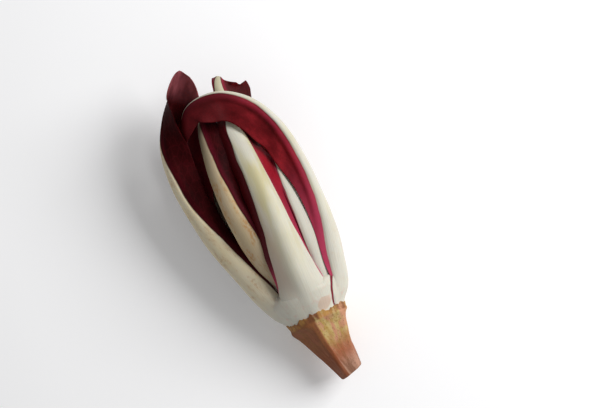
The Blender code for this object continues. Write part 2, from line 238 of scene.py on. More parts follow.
def leaf_surface(plan):
    """A leaf's points (stations x round x 3), and each point's distance across, along and past the rib.

    Point = path + right x across + back x up. Thickness = blade + (rib - blade) x (1 - (s / w)^2)^crown,
    where s is the distance from the middle and w half the rib's width.
    """
    t = np.linspace(0, 1, STATIONS)
    path, length = even_path(plan["path"], STATIONS)
    back, right = leaf_directions(path, plan["turn_at"], through(plan["twist"], t))
    run = t * length
    at = {k: through(plan[k], t) for k in ("rib", "thick", "left", "right")}
    turns = ("bend", "roof", "fold_left", "fold_right", "pleat_left", "pleat_right")
    angles = {k: np.radians(through(plan[k], t)) for k in turns}
    round_from = plan["round_from"]
    narrow = np.sqrt(np.clip(1 - (np.clip(t - round_from, 0, 1) / (1 - round_from)) ** 2, 0.004, 1))
    seed = plan["seed"]
    half_rib = np.maximum(at["rib"], LEAST_RIB) * narrow * (1 + 0.018 * ripple(run, seed, (31, 19, 47)))
    thick = np.maximum(at["thick"] * (1 + 0.02 * ripple(run, seed + 1, (23, 41))), LEAST_THICK)
    thick = END_THICK + (thick - END_THICK) * narrow
    sides = []
    for sign, side in ((-1, "left"), (1, "right")):
        uneven = 1 + 0.03 * ripple(run, seed + 3 + sign, (37, 23, 61)) * smooth_step(t * 3)
        blade = np.maximum(at[side], LEAST_BLADE) * narrow * uneven
        s, past, out, inward, direction = half_section(
            half_rib, blade, angles["bend"], angles["fold_" + side], angles["pleat_" + side], angles["roof"])
        share = np.clip(s / half_rib[:, None], 0, 1)
        root = np.minimum(BLADE_ROOT, thick)[:, None]
        deep = root + (thick[:, None] - root) * np.clip(1 - share**2, 0, 1) ** plan["crown"]
        thin = BLADE_EDGE + (BLADE_ROOT - BLADE_EDGE) * np.exp(-past / THIN_REACH)
        deep = np.where(past > 0, np.minimum(thin * (0.4 + 0.6 * narrow[:, None]), deep), deep)
        wave = ripple(run[:, None] + 0.8 * past, seed + 7 + sign, RUFFLE_WAVES)
        grow = (past / 10.0) ** 1.2 * smooth_step((t - 0.1) * 2.2)[:, None]
        lift = plan["ruffle"] * wave * grow
        normal = np.stack([sign * np.sin(direction), np.cos(direction)], axis=-1)
        line = np.stack([sign * out, -inward], axis=-1) + normal * lift[..., None]
        order = slice(None, 0, -1) if sign < 0 else slice(None)
        sides.append([part[:, order] for part in (line, normal, deep, sign * s, past)])
    line, normal, deep, across, past = (np.concatenate(pair, axis=1) for pair in zip(*sides))
    outer = line + normal * (deep * OUTER_SHARE)[..., None]
    inner = line - normal * (deep * (1 - OUTER_SHARE))[..., None]
    flat = np.concatenate([outer, inner[:, ::-1]], axis=1)
    points = path[:, None] + right[:, None] * flat[..., :1] + back[:, None] * flat[..., 1:]
    points[..., 2] = np.maximum(points[..., 2], 0.0)
    white = through(plan["white"], t)[:, None]
    past_white = np.abs(across) - half_rib[:, None] * white - np.where(white < 0.05, -2.0, 0.0)
    both = [np.concatenate([a, a[:, ::-1]], axis=1) for a in (across, past_white)]
    return points, both[0], np.broadcast_to(run[:, None], both[0].shape), both[1]


print("points round one station of a leaf:", 2 * (2 * (RIB_STEPS + BLADE_STEPS) + 1))

# %% [markdown]
# ## From a grid of points to a mesh
#
# A closed tube of quads joins each ring of points to the next, and a strip of quads across the first
# and the last ring closes the ends. The distances across and along go into a UV map, scaled to fit in it,
# so a material can lay its streaks along the rib. The distance past the rib's white edge goes into an
# attribute of its own, because that is where the leaf turns from white to red.

# %% Mesh from a grid
MAP_ACROSS, MAP_ALONG = 100.0, 200.0    # mm that the UV map's unit stands for, across and along a leaf


def grid_mesh(name, points, ends="strip"):
    """A closed tube through a grid of stations x round points.

    Its ends are closed by a strip of quads across each, or joined to each other where the tube is a ring.
    """
    stations, around = points.shape[:2]
    index = np.arange(stations * around).reshape(stations, around)
    turned = np.roll(index, -1, axis=1)
    after = np.roll(index, -1, axis=0), np.roll(turned, -1, axis=0)
    last = stations if ends == "join" else stations - 1
    quads = np.stack([index, turned, after[1], after[0]], axis=-1)[:last].reshape(-1, 4)
    half = around // 2
    strips = []
    for ring, flip in ((index[0], True), (index[-1], False)) if ends == "strip" else ():
        a, b = ring[:half], ring[::-1][:half]
        strip = np.stack([a[:-1], a[1:], b[1:], b[:-1]], axis=-1)
        strips.append(strip[:, ::-1] if flip else strip)
    faces = np.concatenate([quads, *strips])
    mesh = bpy.data.meshes.new(name)
    mesh.from_pydata(to_world(points).reshape(-1, 3).tolist(), [], faces.tolist())
    mesh.shade_smooth()
    return mesh


def add_uv(mesh, name, u, v):
    """A UV map from one pair of numbers a point."""
    loop_points = np.empty(len(mesh.loops), np.int32)
    mesh.loops.foreach_get("vertex_index", loop_points)
    pairs = np.stack([u.reshape(-1)[loop_points], v.reshape(-1)[loop_points]], axis=-1)
    layer = mesh.uv_layers.new(name=name)
    layer.data.foreach_set("uv", pairs.astype(np.float32).ravel())


def add_leaf_map(mesh, across, along, past_white):
    """A leaf's UV map, with its middle at half the map's width, and its distance past the white rib."""
    add_uv(mesh, "leaf", 0.5 + across / MAP_ACROSS, along / MAP_ALONG)
    add_number(mesh, "past_white", past_white)


def add_number(mesh, name, values):
    """A named number at each point."""
    layer = mesh.attributes.new(name, "FLOAT", "POINT")
    layer.data.foreach_set("value", np.ascontiguousarray(values, np.float32).ravel())


def add_piece(name, mesh, material, slot, *nodes):
    """Puts a mesh in the scene as a piece that rides on the head and stands for the model's nodes."""
    piece = bpy.data.objects.new(name, mesh)
    bpy.context.scene.collection.objects.link(piece)
    mesh.materials.append(material)
    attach(piece, "root")
    if nodes:
        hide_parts(*nodes)
    print(name, len(mesh.polygons), "faces")


print("a leaf will have", (STATIONS - 1) * 2 * (2 * (RIB_STEPS + BLADE_STEPS) + 1), "faces between its ends")

# %% [markdown]
# ## Writing materials as sums
#
# A material in Blender is a web of nodes, and most of them only add or multiply. The small class below
# wraps one socket, so that `red * 0.5 + 0.2` adds the two Math nodes itself. Colours are mixed by a Mix
# node, and any other node comes from one method, which takes its type, its settings and its inputs.

# %% Sockets that can be added and multiplied
class Wire:
    """One value flowing through a material, with arithmetic that adds Math nodes."""

    def __init__(self, tree, socket):
        self.tree, self.socket = tree, socket

    def node(self, kind, settings=None, inputs=None, output=0):
        """A node of a kind: settings first, then inputs by number or name, as values or wires."""
        made = self.tree.nodes.new(kind)
        for key, value in (settings or {}).items():
            setattr(made, key, value)
        for key, value in (inputs or {}).items():
            if isinstance(value, Wire):
                self.tree.links.new(value.socket, made.inputs[key])
            else:
                made.inputs[key].default_value = value
        return Wire(self.tree, made.outputs[output])

    def math(self, operation, a, b=0.0):
        """A Math node on two values or wires."""
        return self.node("ShaderNodeMath", {"operation": operation}, {0: a, 1: b})

    def __add__(self, other):
        return self.math("ADD", self, other)

    def __sub__(self, other):
        return self.math("SUBTRACT", self, other)

    def __rsub__(self, other):
        return self.math("SUBTRACT", other, self)

    def __mul__(self, other):
        return self.math("MULTIPLY", self, other)

    def __truediv__(self, other):
        return self.math("DIVIDE", self, other)

    __radd__, __rmul__ = __add__, __mul__

    def step(self, low, high):
        """0 at low, 1 at high, and a smooth S between."""
        settings = {"interpolation_type": "SMOOTHSTEP"}
        return self.node("ShaderNodeMapRange", settings, {0: self, 1: low, 2: high})

    def absolute(self):
        """The value without its sign."""
        return self.math("ABSOLUTE", self)

    def mix(self, a, b):
        """Colour a where this is 0 and b where it is 1."""
        colours = [(*c, 1.0) if isinstance(c, tuple) else c for c in (a, b)]
        inputs = {0: self, 6: colours[0], 7: colours[1]}
        return self.node("ShaderNodeMix", {"data_type": "RGBA"}, inputs, 2)

    def noise(self, x, y, z=0.0, detail=3.0, roughness=0.55):
        """Smooth noise from 0 to 1 at (x, y, z), where each is a number or a wire."""
        place = self.node("ShaderNodeCombineXYZ", {}, {0: x, 1: y, 2: z})
        inputs = {"Vector": place, "Scale": 1.0, "Detail": detail, "Roughness": roughness}
        return self.node("ShaderNodeTexNoise", {"noise_dimensions": "3D"}, inputs)

    def bump(self, height, strength, distance):
        """Fine relief from a height, which is multiplied by a distance in metres."""
        return self.node("ShaderNodeBump", {}, {"Height": height, "Strength": strength, "Distance": distance})


def new_finish(name):
    """A material with a Principled shader, and a wire to start its expressions from."""
    made = bpy.data.materials.new(name)
    made.use_nodes = True
    shader = made.node_tree.nodes["Principled BSDF"]
    return made, shader, Wire(made.node_tree, None)


def feed(shader, start, **sockets):
    """Sets or links the shader's sockets; names are written with underscores."""
    for key, value in sockets.items():
        socket = shader.inputs[key.replace("_", " ")]
        if isinstance(value, Wire):
            start.tree.links.new(value.socket, socket)
        else:
            socket.default_value = value


print("materials in the frame before ours:", len(bpy.data.materials))

# %% [markdown]
# ## What a leaf is painted like
#
# The rib is ivory white, with fine streaks along it where its strings run, a little yellow or green
# where it has seen light, and sometimes tan bruises. The blade is a deep wine red, darker in places,
# with a pinker line where it leaves the rib and a net of faint veins. The leaves of one head differ, so
# one set of choices, the look, holds all that can differ. A leaf names only the choices that are its own.
# Some choices paint shade and light into the colour: painted shade on a rib's left slope, on a left
# blade and towards some tips, and painted light on the tip of a rolled leaf.

# %% A leaf's look
NEVER = 400.0                 # mm along, past every tip: where a change starts that a leaf doesn't have
PLAIN_LOOK = {
    "seed": 0.0,                             # moves all its patterns
    "ivory": (0.57, 0.55, 0.475),            # the rib's colour
    "warm": (0.52, 0.48, 0.30),              # its yellower places, and how strong they are
    "yellow": 0.5,
    "stains": 0.55,                          # pink stains near the collar
    "bruises": 0.0,                          # tan bruises
    "side_tint": 0.0,                        # painted shade: a warm beige on the rib's left slope, which faces away from the light
    "shade_from": NEVER,                     # mm along where painted shade darkens the rib towards its tip
    "spot": None,                            # mm across and along to one stain
    "thread": None,                          # mm across to a thin pink line, and mm along from and to
    "wine": (0.060, 0.0016, 0.0035),         # the blade's colour, and its brighter places
    "bright": (0.135, 0.0045, 0.0085),
    "pink_line": 0.6,                        # how strong the line beside the rib is
    "magenta": 0.0,                          # how pink the blade is towards its base
    "dark_left": 0.0,                        # painted shade: how much darker the left blade is, as it faces away from the light
    "dark_from": NEVER,                      # mm along where painted shade darkens the blade towards its tip, and where painted light turns it pale pink
    "blush_from": NEVER,
    "gloss": 0.11,                           # specular level
    "matt": 0.0,                             # roughness that the blade has over the rib's
}
print("choices in a look:", len(PLAIN_LOOK))

# %% [markdown]
# ## The rib's colour
#
# A colour is built like paint, from the ground up: each line mixes one more tint over what is there,
# through a mask that says where. A mask is a noise or a distance, cut by a smooth step. Noise that is
# squeezed across the leaf and stretched along it gives streaks. All distances are in millimetres.

# %% Rib colour
BASE_DEEP, BASE_PALE = (0.58, 0.555, 0.47), (0.64, 0.62, 0.53)    # the flesh next to the collar
BRUISE_TAN, STAIN_PINK, SPOT_TAN = (0.46, 0.26, 0.11), (0.62, 0.40, 0.33), (0.56, 0.37, 0.27)
# the first is painted shade on a rib's left slope, the second a thin pink line
SLOPE_SHADE_BEIGE, THREAD_PINK = (0.46, 0.335, 0.27), (0.40, 0.06, 0.13)
SPOT_FADE = (9.0, 19.0)       # distances from a spot's middle, squared, where it begins and ends to fade


def darker(colour, share):
    """A colour whose parts are a share of another's."""
    return tuple(share * part for part in colour)


def rib_colour(wire, look, across, along, streaks):
    """Ivory, then yellow, bruises, painted shade towards the tip, the pale base, collar stains, one stain, painted
    shade on the left slope and a thin pink line.
    """
    broad = wire.noise(across * 0.16, along * 0.03, look.seed + 5.0, 2.0)
    flesh = streaks.step(0.3, 0.75).mix(darker(look.ivory, 0.86), look.ivory)
    flesh = (broad.step(0.34, 0.78) * look.yellow * along.step(10.0, 90.0)).mix(flesh, look.warm)
    patches = wire.noise(across * 0.30, along * 0.075, look.seed + 13.0, 3.0).step(0.47, 0.60)
    speckle = wire.noise(across * 0.9, along * 0.35, look.seed + 17.0, 4.0, 0.65).step(0.44, 0.62)
    flesh = (patches * (speckle * 0.8 + 0.2) * look.bruises).mix(flesh, BRUISE_TAN)
    # painted shade: the rib darkens towards its tip
    if look.shade_from < NEVER:
        flesh = along.step(look.shade_from, look.shade_from + 50.0).mix(flesh, darker(look.ivory, 0.55))
    base = streaks.step(0.3, 0.75).mix(BASE_DEEP, BASE_PALE)
    flesh = (1.0 - along.step(8.0, 32.0)).mix(flesh, base)
    stain = wire.noise(across * 0.35, along * 0.22, look.seed + 9.0, 4.0, 0.6).step(0.50, 0.72)
    flesh = (stain * (1.0 - along.step(6.0, 28.0)) * look.stains).mix(flesh, STAIN_PINK)
    if look.spot:
        right, up = across - look.spot[0], along - look.spot[1]
        away = right * right + up * up + (broad - 0.5) * 16.0 + (stain - 0.5) * 7.0
        flesh = ((1.0 - away.step(*SPOT_FADE)) * 0.6).mix(flesh, SPOT_TAN)
    # painted shade: a warm beige low on the left slope, which faces away from the light
    if look.side_tint:
        slope = (1.0 - across.step(-7.0, -0.5)) * across.step(-32.0, -20.0)
        low = along.step(12.0, 32.0) * (1.0 - along.step(45.0, 100.0))
        flesh = (slope * low * look.side_tint).mix(flesh, SLOPE_SHADE_BEIGE)
    if look.thread:
        at, start, end = look.thread
        inside = along.step(start, start + 9.0) * (1.0 - along.step(end, end + 4.0))
        flesh = ((1.0 - (across - at).absolute().step(0.3, 0.9)) * inside).mix(flesh, THREAD_PINK)
    return flesh


print("the rib's tints:", len([BRUISE_TAN, STAIN_PINK, SPOT_TAN, SLOPE_SHADE_BEIGE, THREAD_PINK]))

# %% [markdown]
# ## The blade's colour
#
# The red blade is painted in the same way: a slow change between two reds, then veins, a fine grain, the
# pink line beside the rib, and the changes that only some leaves have: painted shade towards the tip, pink
# towards the base, painted shade on the left blade, and painted light on the tip of a rolled leaf.

# %% Blade colour
VEIN_RED, LINE_PINK = (0.26, 0.016, 0.03), (0.30, 0.018, 0.045)
# painted shade: a darker wine towards a tip, and on a left blade
PAINTED_SHADE_WINE, LEFT_SHADE_WINE = (0.040, 0.0012, 0.0022), (0.06, 0.0012, 0.0028)
# the blade's own magenta near its base, and a pale pink that is painted light on a rolled tip
BASE_MAGENTA, PAINTED_LIGHT_PINK = (0.41, 0.042, 0.095), (0.24, 0.062, 0.072)


def blade_colour(wire, look, across, along, line, veins, fine):
    """Wine to bright wine, with veins, grain and the pink line, then painted shade towards the tip, pink towards the
    base, painted shade on the left blade and painted light on the tip.
    """
    slow = wire.noise(across * 0.12, along * 0.055, look.seed + 21.0, 3.0)
    blade = slow.step(0.3, 0.72).mix(look.wine, look.bright)
    blade = (veins * 0.06).mix(blade, VEIN_RED)
    blade = (fine.step(0.35, 0.75) * 0.3).mix(blade, darker(look.wine, 0.55))
    blade = (line * look.pink_line).mix(blade, LINE_PINK)
    # painted shade: the blade darkens towards its tip
    if look.dark_from < NEVER:
        blade = (along.step(look.dark_from, look.dark_from + 50.0) * 0.75).mix(blade, PAINTED_SHADE_WINE)
    if look.magenta:
        blade = ((1.0 - along.step(28.0, 100.0)) * look.magenta).mix(blade, BASE_MAGENTA)
    # painted shade: the left blade, which faces away from the light, is darker
    if look.dark_left:
        left = (1.0 - across.step(-3.0, 3.0)) * along.step(26.0, 44.0)
        blade = (left * look.dark_left).mix(blade, LEFT_SHADE_WINE)
    # painted light: a pale greyish pink on the lit tip of a rolled leaf
    if look.blush_from < NEVER:
        blush = along.step(look.blush_from, look.blush_from + 13.0) * (0.6 + 0.4 * slow.step(0.4, 0.6))
        blade = blush.mix(blade, PAINTED_LIGHT_PINK)
    return blade


print("the blade's tints:", len([VEIN_RED, LINE_PINK, PAINTED_SHADE_WINE, LEFT_SHADE_WINE, BASE_MAGENTA, PAINTED_LIGHT_PINK]))

# %% [markdown]
# ## The whole leaf's finish
#
# Rib and blade meet over half a millimetre, along a border that wanders a little. The same streaks and
# veins that colour the leaf also raise it, through one Bump node, so relief and colour always agree.
# Light goes a little way into the flesh before it comes out, which is what Subsurface is for.

# %% Leaf finish
def leaf_finish(name, **choices):
    """A leaf's material: the plain look with its own choices, red where the place is past the white rib."""
    look = SimpleNamespace(**{**PLAIN_LOOK, **choices})
    made, shader, wire = new_finish(name)
    place = {"Vector": wire.node("ShaderNodeUVMap", {"uv_map": "leaf"})}
    across = (wire.node("ShaderNodeSeparateXYZ", {}, place, 0) - 0.5) * MAP_ACROSS
    along = wire.node("ShaderNodeSeparateXYZ", {}, place, 1) * MAP_ALONG
    past = wire.node("ShaderNodeAttribute", {"attribute_name": "past_white"}, {}, 2)
    border = past + (wire.noise(across * 0.3, along * 0.10, look.seed) - 0.5) * 0.5
    red = border.step(-0.25, 0.35)
    line = border.step(0.0, 1.0) * (1.0 - past.step(0.8, 4.0))
    streaks = wire.noise(across * 2.6, along * 0.045, look.seed + 3.0, 4.0, 0.65)
    fine = wire.noise(across * 1.6, along * 0.55, look.seed + 25.0, 4.0, 0.6)
    slanted = {0: past * 0.30, 1: along * 0.17 - past * 0.16, 2: look.seed}
    cells = {"Vector": wire.node("ShaderNodeCombineXYZ", {}, slanted), "Scale": 1.0}
    veins = 1.0 - wire.node("ShaderNodeTexVoronoi", {"feature": "DISTANCE_TO_EDGE"}, cells).step(0.0, 0.09)
    flesh = rib_colour(wire, look, across, along, streaks)
    blade = blade_colour(wire, look, across, along, line, veins, fine)
    rough = 0.40 + 0.12 * streaks + red * (fine * 0.14 + 0.04 + look.matt)
    height = streaks * (1.0 - red) * 0.5 + red * (veins * 0.25 + fine * 0.5)
    grain = wire.bump(height, 0.55, 0.00022)
    feed(shader, wire, Base_Color=red.mix(flesh, blade), Roughness=rough, Normal=grain)
    feed(shader, wire, Specular_IOR_Level=look.gloss, Subsurface_Weight=0.12)
    feed(shader, wire, Subsurface_Radius=(1.0, 0.6, 0.35), Subsurface_Scale=0.0022)
    return made


PLAIN_LEAF = leaf_finish("ivory_and_wine_leaf", seed=1.0)
# The sheath gets a little painted shade on its left slope.
SHEATH_FLESH = leaf_finish(
    "joined_bases_flesh", seed=7.0, ivory=(0.60, 0.575, 0.49), stains=0.8, pink_line=1.0, side_tint=0.3)
# The top leaf gets painted shade on its rib's left slope and on its left blade, which face away from the light; its
# bright wine is partly its own red and partly painted light shining through the thin blade.
TOP_LEAF = leaf_finish(
    "top_leaf_flesh", seed=11.0, ivory=(0.60, 0.58, 0.49), warm=(0.50, 0.455, 0.275), yellow=1.35, side_tint=0.55,
    wine=(0.13, 0.001, 0.005), bright=(0.25, 0.0015, 0.010), magenta=0.75, dark_left=0.9,
    spot=(6.8, 7.4), thread=(12.6, 15.0, 39.0))
# The bruised leaf's tan ivory is partly its own colour and partly painted warm light bounced from the red blades; the
# darkening of its rib towards the tip and its very dark wine are painted shade.
MARKED_LEAF = leaf_finish(
    "bruised_leaf", seed=31.0, ivory=(0.56, 0.45, 0.30), warm=(0.50, 0.39, 0.21), yellow=0.8, bruises=1.0,
    shade_from=75.0, wine=(0.018, 0.0006, 0.0012), bright=(0.042, 0.0014, 0.0024), pink_line=0.20, gloss=0.05)
# The hooked leaf's blade gets painted shade towards its tip.
HOOK_LEAF = leaf_finish(
    "hooked_leaf_flesh", seed=53.0, ivory=(0.62, 0.60, 0.52), yellow=0.7, bruises=0.12,
    wine=(0.110, 0.0024, 0.0050), bright=(0.29, 0.013, 0.021), magenta=1.0, dark_from=118.0)
# The left leaf's lighter, warmer ivory is painted light on a rib that lies in shade, its very dark wine is painted
# shade, and the pale pink of its rolled tip is painted light.
LEFT_LEAF = leaf_finish(
    "left_leaf_flesh", seed=71.0, ivory=(0.76, 0.68, 0.50), warm=(0.70, 0.58, 0.34), yellow=0.9, bruises=0.5,
    wine=(0.018, 0.0004, 0.0008), bright=(0.040, 0.0012, 0.0020), pink_line=0.08, blush_from=157.0, gloss=0.05,
    matt=0.15)
HEART_LEAF = leaf_finish(
    "heart_leaf_flesh", seed=91.0, ivory=(0.5, 0.46, 0.33), wine=(0.040, 0.001, 0.002), bright=(0.09, 0.002, 0.004))
FINISHES = (PLAIN_LEAF, SHEATH_FLESH, TOP_LEAF, MARKED_LEAF, HOOK_LEAF, LEFT_LEAF, HEART_LEAF)
print("leaf finishes:", [finish.name for finish in FINISHES])

# %% [markdown]
# ## The plan of every leaf
#
# Each leaf gets the same plan as its solid, with a few numbers more: how strongly its blades wave, how
# deep the pleat beside its rib is, and how far along the rib stays white. Numbers in a row are read at
# equal steps from the base to the tip, so the last ones shape the tip. As with the looks, there is one
# plain plan, and a leaf names only the rows in which it differs.

# %% A leaf's plan
PLAIN_PLAN = {
    "rib": (6.5, 6.5, 5.8, 5.0, 3.4, 1.2),             # mm, half the rib's width
    "thick": (4.6, 5.0, 4.6, 3.8, 2.8, 1.6),           # mm
    "left": (0.3, 1.0, 4.5, 7.0, 6.0, 0.9),            # mm, the width of each blade
    "right": (0.3, 1.0, 4.5, 7.0, 6.0, 0.9),
    "bend": (30, 34, 36, 36, 36, 30),                  # degrees that the rib's back turns to its edge
    "fold_left": (0, 20, 45, 55, 55, 40),              # degrees that a blade folds towards the heart
    "fold_right": (0, 20, 45, 55, 55, 40),
    "pleat_left": (0, 0),                              # degrees, the step in a blade
    "pleat_right": (0, 0),
    "roof": (0, 0),                                    # degrees that each half of the rib slopes
    "twist": (0, 0),                                   # degrees that the leaf turns about its rib
    "white": (1.15, 1.0, 1.0, 1.0, 1.0, 1.0, 0.97, 0.9, 0.5, -1.0),    # share of the rib that is white
    "crown": 0.6,                                      # how full the rib's back is: less is fuller
    "round_from": 0.94,                                # share of the length where the tip's rounding starts
    "ruffle": 0.25,                                    # mm that a blade waves, 10 mm from its rib
}


def leaf(name, path, seed, finish=None, slot="pale_leaf", turn_at=112.0, **rows):
    """A leaf's plan: its rib's path in plan millimetres, and its shape at equal steps from base to tip."""
    finish = finish or (HEART_LEAF if slot == "red_leaf" else PLAIN_LEAF)
    plan = {"name": name, "path": path, "seed": seed, "finish": finish, "slot": slot, "turn_at": turn_at}
    return {**plan, **PLAIN_PLAN, **rows}


print("rows in a plan:", len(PLAIN_PLAN))

# %% [markdown]
# ## The outer ring
#
# Radicchio leaves grow in rings of five. The outer ring holds the widest rib, straight up the middle, the
# one on the right that hooks over the whole head, the two that the head lies on, and the one on the left
# whose tip rolls open. Their bases start at the collar.

# %% Outer ring
LEAVES = [
    leaf(
        "top_leaf",
        [(-1.1, 0.0, 37.2), (-0.1, 15, 44.3), (0.4, 34, 52.0), (2.0, 57, 56.5), (2.7, 80, 56.0), (2.6, 98, 51.2),
         (2.3, 112, 45.8), (0.5, 121, 41.5), (-0.5, 127, 36), (-2.5, 129, 31)],
        seed=100, finish=TOP_LEAF, crown=0.30,
        rib=(12.4, 14.8, 12.7, 10.3, 8.3, 6.7, 5.9, 5.0, 1.2),
        thick=(4.4, 5.6, 6.2, 5.8, 5.2, 4.4, 3.4, 2.4, 1.5),
        bend=(6, 6, 4, 6, 8, 14, 24, 36, 30),
        roof=(18, 27, 32, 32, 28, 20, 10, 0, 0),
        white=(1.3, 1.12, 1.0, 1.0, 1.0, 1.0, 1.0, 1.0, 0.6, -1.0),
        left=(0.3, 0.8, 2.6, 6.0, 8.0, 9.0, 10.0, 10.0, 4.0),
        right=(0.3, 1.8, 4.6, 6.2, 7.8, 10.5, 11.5, 7.0, 1.0),
        fold_right=(0, 0, 0, 0, 0, -8, -14, 0, 20),
    ),
    leaf(
        "right_hook_leaf",
        [(13.0, -0.3, 27.8), (21.0, 12, 32.4), (24.5, 27, 37), (28.6, 47, 39.5), (30.3, 72, 41.6), (29.5, 95, 44.8),
         (25.8, 113.0, 48.4), (17.7, 128.5, 50.5), (5.0, 138.8, 51), (-8, 141.5, 50.2), (-18.8, 138.6, 47.5),
         (-25.2, 129.2, 44), (-28.6, 119.5, 40)],
        seed=120, finish=HOOK_LEAF, turn_at=104.0,
        twist=(-12, -15, -18, -5, -8, -6, 0, 0, 0),
        rib=(6.6, 7.1, 5.3, 3.8, 2.6, 1.7, 1.0, 0.7, 0.6),
        thick=(4.4, 5.4, 5.0, 4.2, 3.4, 2.6, 1.8, 1.3, 1.2),
        bend=(30, 34, 36, 36, 36, 34, 24, 12, 10),
        fold_right=(0, 20, 45, 55, 55, 50, 30, 10, 10),
        left=(0.5, 2.1, 5.0, 9.2, 13.8, 16.4, 16.4, 12.5, 1.5),
        right=(0.3, 0.3, 2.5, 4.5, 5.5, 5.0, 4.0, 3.0, 1.0),
        fold_left=(0, 15, 25, 36, 34, 36, 52, 52, 40),
        pleat_left=(0, 0, 16, 48, 64, 60, 40, 14, 0),
        white=(1.4, 1.0, 1.0, 1.0, 1.0, 1.0, 1.0, 0.95, 0.3, -1.0),
    ),
    leaf(
        "lower_right_leaf",
        [(9.2, -2.0, 11.8), (12.8, 13, 6.8), (15.5, 29, 3.2), (17, 50, 2.3), (16.5, 80, 2.5), (13, 103, 6.0),
         (7.5, 118, 12), (3.5, 125, 18), (2.5, 126, 22)],
        seed=140, twist=(0, 10, 12, 12, 12, 5, 0), rib=(7.8, 8.3, 6.8, 5.4, 3.4, 1.2),
    ),
    leaf(
        "lower_left_leaf",
        [(-11.2, -2.0, 11.8), (-15.5, 13, 6.8), (-20, 29, 3.2), (-24, 50, 2.3), (-25, 80, 2.5), (-22, 104, 6.0),
         (-16, 120, 12), (-12, 127, 17), (-10.5, 128.5, 21)],
        seed=160, twist=(0, -10, -12, -12, -12, -5, 0), rib=(7.8, 8.3, 6.8, 5.4, 3.4, 1.2),
        right=(0.3, 1.0, 3.5, 5.0, 5.0, 1.5),
    ),
    leaf(
        "left_leaf",
        [(-15.0, -0.2, 26.2), (-20.2, 12, 30.3), (-25.6, 28, 33), (-31.7, 46, 34.5), (-38.2, 68, 35.5), (-42, 90, 36.5),
         (-42.6, 110, 37.5), (-39.5, 126, 38.5), (-32.5, 139, 38.5), (-24, 149.5, 37.5), (-12, 161.5, 41.5)],
        seed=180, finish=LEFT_LEAF, turn_at=130.0, round_from=0.93,
        twist=(25, 34, 31, 33, 12, 4, -12, -50, -65),
        rib=(7.6, 8.3, 8.0, 7.2, 6.0, 5.0, 3.2, 1.6, 1.0),
        thick=(4.4, 5.4, 5.4, 5.0, 4.4, 3.8, 3.0, 2.0, 1.5),
        right=(0.3, 0.6, 2.6, 6.5, 10.0, 13.5, 14.0, 11.5, 7.5),
        left=(0.3, 0.3, 2.5, 4.0, 5.0, 5.0, 6.5, 17.0, 16.0),
        fold_right=(0, 20, 40, 45, 48, 50, 40, 15, 10),
        fold_left=(0, 20, 40, 50, 55, 50, 35, 38, 46),
        pleat_right=(0, 0, 0, 10, 20, 24, 10, 0, 0),
        white=(1.15, 1.0, 1.0, 1.0, 1.0, 0.95, 0.9, 0.2, -1.0, -1.0),
    ),
]
print(len(LEAVES), "leaves in the outer ring")

# %% [markdown]
# ## The second ring
#
# Five more stand between the ribs of the first five, and start a little above the collar. Two of them
# show from above, left and right of the widest rib, and the left one is the bruised one.

# %% Second ring
LEAVES += [
    leaf(
        "upper_left_leaf",
        [(-7.0, 8.5, 27.6), (-11.4, 22, 30.8), (-14.5, 32, 35.2), (-17.1, 45, 42.6), (-18.1, 60, 47.8),
         (-19.4, 77, 49.5), (-19.4, 98, 47.0), (-17.8, 114, 43.0), (-15.8, 125, 39.5), (-12.5, 133, 35), (-9, 135, 30)],
        seed=200, finish=MARKED_LEAF,
        rib=(3.8, 5.2, 6.4, 7.0, 6.0, 4.9, 3.6, 2.3, 1.0),
        bend=(30, 34, 32, 28, 26, 26, 28, 30, 30),
        left=(0.3, 0.3, 3.5, 7.0, 9.5, 10.5, 9.0, 5.0, 0.8),
        right=(0.3, 0.3, 1.5, 4.0, 6.0, 7.5, 9.0, 9.0, 3.0),
        fold_left=(0, 20, 40, 40, 36, 34, 36, 40, 40),
        fold_right=(0, 20, 50, 70, 75, 62, 42, 28, 20),
    ),
    leaf(
        "upper_right_leaf",
        [(9.0, 8.5, 30.0), (13.2, 21, 36.2), (15.6, 37, 39.6), (16.8, 57, 41.2), (16.6, 80, 40.2), (16.0, 96, 36.0),
         (14.6, 107, 31), (13.0, 113, 27), (12.3, 114.5, 24)],
        seed=220,
        rib=(3.4, 4.8, 5.6, 6.2, 6.0, 4.8, 3.2, 1.8, 0.8),
        left=(0.3, 0.3, 0.3, 0.4, 0.6, 1.0, 1.2, 1.0, 0.8),
        right=(0.3, 0.3, 1.5, 3.0, 4.0, 4.0, 2.4, 1.4, 0.8),
        fold_left=(0, 20, 30, 40, 45, 50, 55, 55, 40),
    ),
    leaf(
        "right_flank_leaf",
        [(9.8, 7.5, 18.2), (15.2, 22, 17.5), (21.5, 42, 19.0), (27.0, 64, 20.5), (28.2, 87, 22), (24, 106, 23.5),
         (17, 117, 26), (13, 121, 28.5), (12, 120.5, 31)],
        seed=240,
    ),
    leaf(
        "under_leaf",
        [(-1.0, 7.0, 12.0), (-2.5, 22, 9.8), (-4, 42, 6.6), (-4.4, 65, 5.4), (-4.6, 88, 6.6), (-4.6, 108, 12.0),
         (-4, 119, 18), (-3.5, 123, 24)],
        seed=260,
    ),
    leaf(
        "left_flank_leaf",
        [(-11.7, 7.5, 18.4), (-18.4, 22, 17.5), (-27, 42, 17.5), (-35, 65, 19), (-37.4, 88, 20.5), (-33.4, 110, 23),
         (-27, 125, 27), (-18, 133.5, 30), (-8, 137, 33), (-3, 137, 34)],
        seed=280,
        left=(0.3, 1.0, 3.5, 5.0, 5.0, 1.5),
        right=(0.3, 1.0, 6.0, 14.0, 17.0, 17.0, 9.0),
        fold_right=(0, 20, 40, 40, 40, 40),
    ),
]
print(len(LEAVES), "leaves in two rings")

# %% [markdown]
# ## The leaf behind the hook, and the heart
#
# One red leaf stands up behind the hook and spreads its blade to the right. The other inner leaves are
# small and much alike, so one function plans them: it only needs an angle round the axis and a size.

